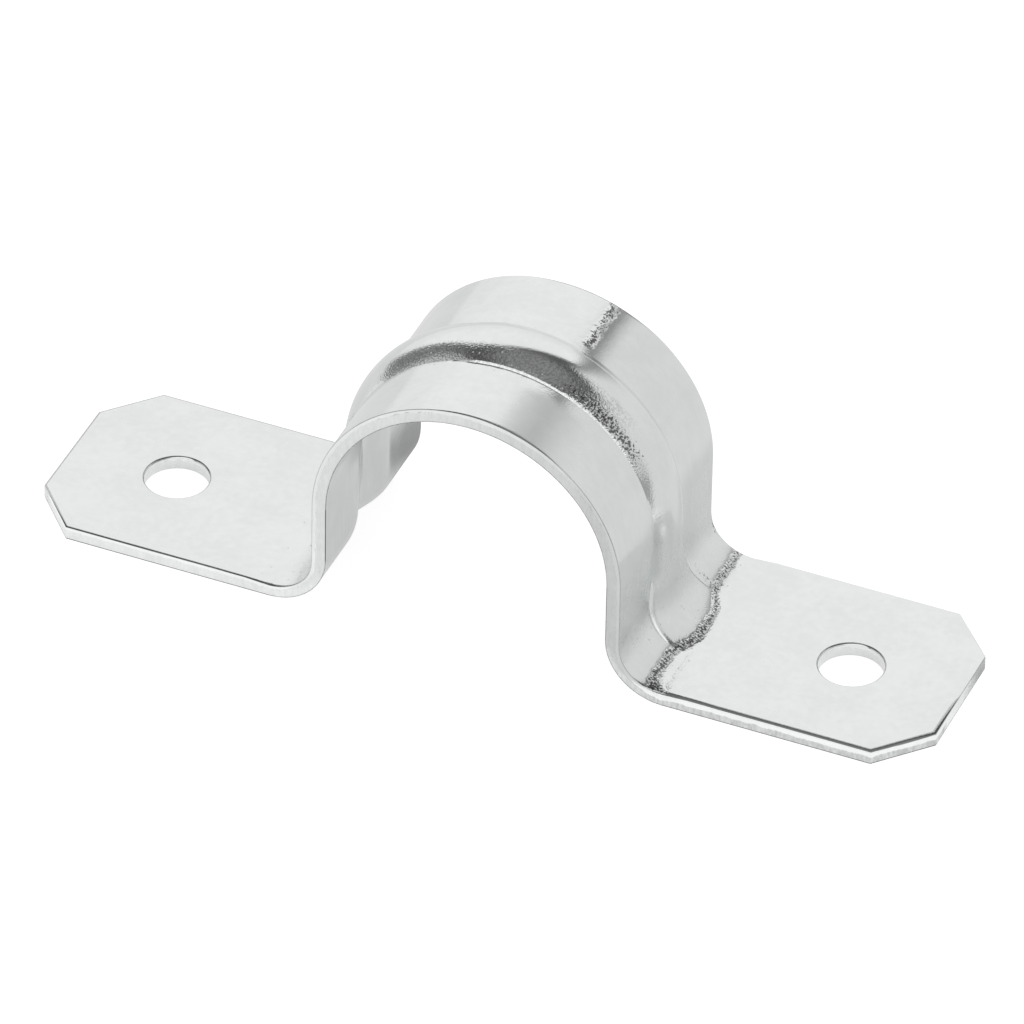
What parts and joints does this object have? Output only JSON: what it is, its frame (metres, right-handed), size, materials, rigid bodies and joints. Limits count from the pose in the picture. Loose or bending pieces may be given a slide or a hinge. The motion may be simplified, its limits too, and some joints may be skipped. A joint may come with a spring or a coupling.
{
  "type": "omega conduit clamp",
  "caption": "Two-hole omega conduit clamp pressed from zinc-plated steel strip, with flat ears, an arch over the conduit and a stiffening bead along its middle.",
  "frame": {"origin": "middle of the clamp, midway between the two ear tips and the two long edges, on the plane of the ears' undersides, which is the wall that the clamp is screwed to", "axes": "+X along the strip from ear to ear, +Y along the conduit, +Z away from the wall, towards the crown of the arch"},
  "size_m": [0.0762, 0.0188, 0.0242],
  "materials": {
    "zinc_plate": "bright zinc plating over pressed steel strip, satin, faintly mottled"
  },
  "bodies": {
    "root": {"strap": "zinc_plate"}
  },
  "joints": []
}
